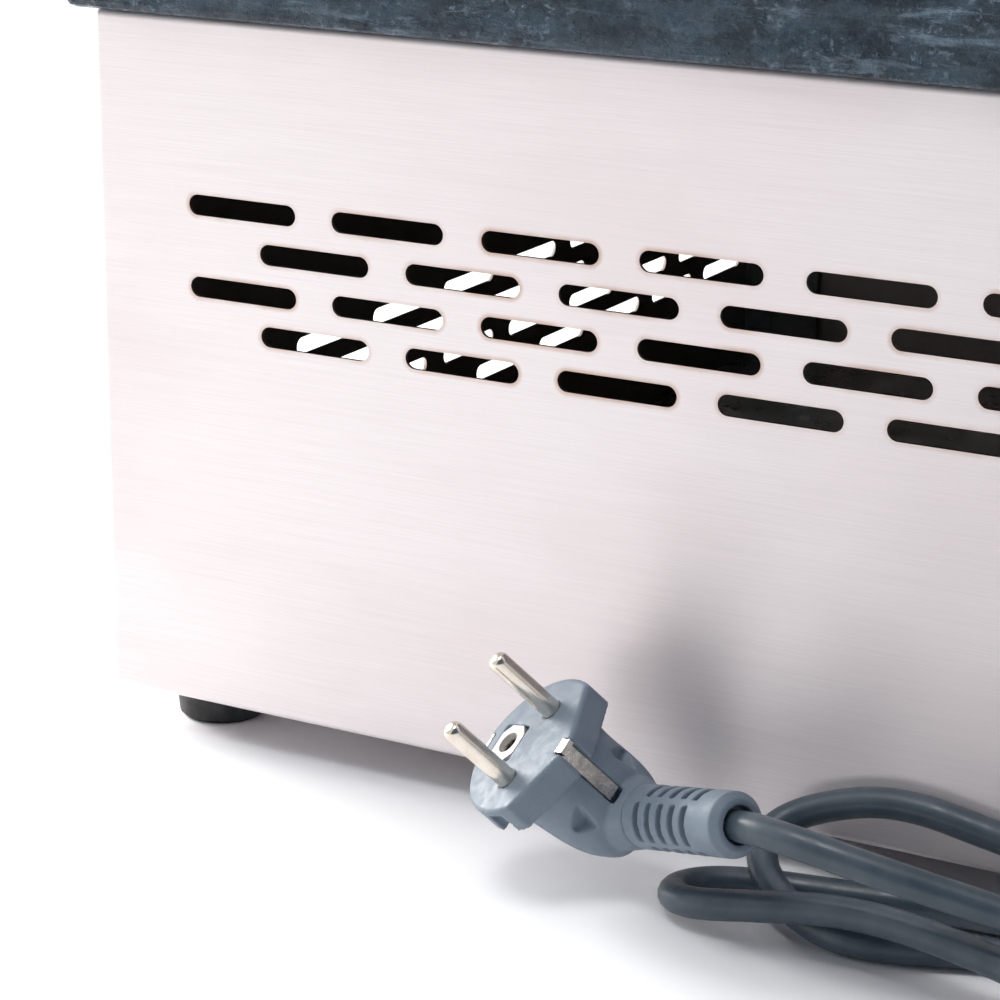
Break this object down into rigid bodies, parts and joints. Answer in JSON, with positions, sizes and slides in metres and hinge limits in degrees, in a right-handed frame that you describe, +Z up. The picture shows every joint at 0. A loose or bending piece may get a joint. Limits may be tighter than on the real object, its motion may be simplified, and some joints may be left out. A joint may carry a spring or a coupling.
{
  "type": "hot stone heater",
  "caption": "Table-top hot stone heater: a heated stone slab on a slotted stainless housing, with a thermostat knob, rocker switch and mains lead.",
  "frame": {"origin": "on the surface the feet stand on, under the middle of the box, the lead and plug left out", "axes": "+X to the right seen from the controls, +Y towards the rear panel where the lead leaves, +Z up"},
  "size_m": [0.453, 0.5438, 0.212],
  "materials": {
    "stainless": "brushed along its length, satin",
    "zinc_steel": "zinc plated, satin",
    "bright_screws": "plated, bright",
    "tray_sheet": "aluminised sheet, satin",
    "slab_stone": "cleft, oiled",
    "silicone": "matt",
    "fibre_board": "matt, fibrous",
    "element_sheath": "oxidised, matt",
    "white_ceramic": "unglazed",
    "copper": "satin",
    "control_plastic": "satin",
    "dial_face": "satin with printed figures",
    "lamp_red": "clear, glossy",
    "black_plastic": "moulded, satin",
    "rubber_black": "matt",
    "cord_jacket": "satin",
    "pin_nickel": "nickel plated, handled",
    "pale_plastic": "matt",
    "wire_sleeve": "braided glass sleeve"
  },
  "bodies": {
    "housing": {"housing_wrap": "stainless", "front_panel": "stainless", "base_plate": "stainless", "rail_left": "zinc_steel", "rail_right": "zinc_steel", "rail_front": "zinc_steel", "rail_rear": "zinc_steel", "corner_posts": "zinc_steel", "element_brackets": "zinc_steel", "bulb_clips": "zinc_steel", "earth_stud": "zinc_steel", "gland_nut": "zinc_steel", "foot_fixings": "bright_screws", "base_screws": "bright_screws", "front_screws": "bright_screws", "thermostat_screws": "bright_screws", "terminal_screws": "bright_screws", "element_tabs": "bright_screws", "reflector_tray": "tray_sheet", "slab_pads": "silicone", "insulation_board": "fibre_board", "element_left": "element_sheath", "element_right": "element_sheath", "element_bushes": "white_ceramic", "terminal_block": "white_ceramic", "thermal_cutout": "white_ceramic", "sensor_bulb": "copper", "capillary_tube": "copper", "thermostat_body": "control_plastic", "switch_frame": "control_plastic", "lamp_body": "control_plastic", "dial_plate": "dial_face", "lamp_lens": "lamp_red", "cable_gland": "black_plastic", "plug_body": "black_plastic", "plug_relief": "black_plastic", "cord_guard": "rubber_black", "foot_rear_left": "rubber_black", "foot_rear_right": "rubber_black", "foot_front_left": "rubber_black", "foot_front_right": "rubber_black", "cord_lead": "cord_jacket", "cord_hank": "cord_jacket", "cord_plug_run": "cord_jacket", "cord_inner_end": "cord_jacket", "plug_pins": "pin_nickel", "plug_earth": "pin_nickel", "plug_insert": "pale_plastic", "wire_live": "wire_sleeve", "wire_switched": "wire_sleeve", "wire_limiter": "wire_sleeve", "wire_heater": "wire_sleeve", "wire_neutral": "wire_sleeve", "wire_lamp": "wire_sleeve", "wire_earth": "wire_sleeve", "mains_cores": "wire_sleeve"},
    "slab": {"stone_slab": "slab_stone"},
    "knob": {"control_knob": "control_plastic", "thermostat_shaft": "bright_screws"},
    "rocker": {"switch_rocker": "control_plastic"}
  },
  "joints": [
    {"name": "slab_lift", "type": "slide", "parent": "housing", "child": "slab", "axis": [0, 0, 1], "range_m": [0, 0.12]},
    {"name": "knob_turn", "type": "hinge", "parent": "housing", "child": "knob", "pos_m": [0.06, -0.1925, 0.096], "axis": [0, 1, 0], "range_deg": [0, 270]},
    {"name": "rocker_tilt", "type": "hinge", "parent": "housing", "child": "rocker", "pos_m": [-0.06, -0.19, 0.096], "axis": [-1, 0, 0], "range_deg": [0, 20]}
  ]
}
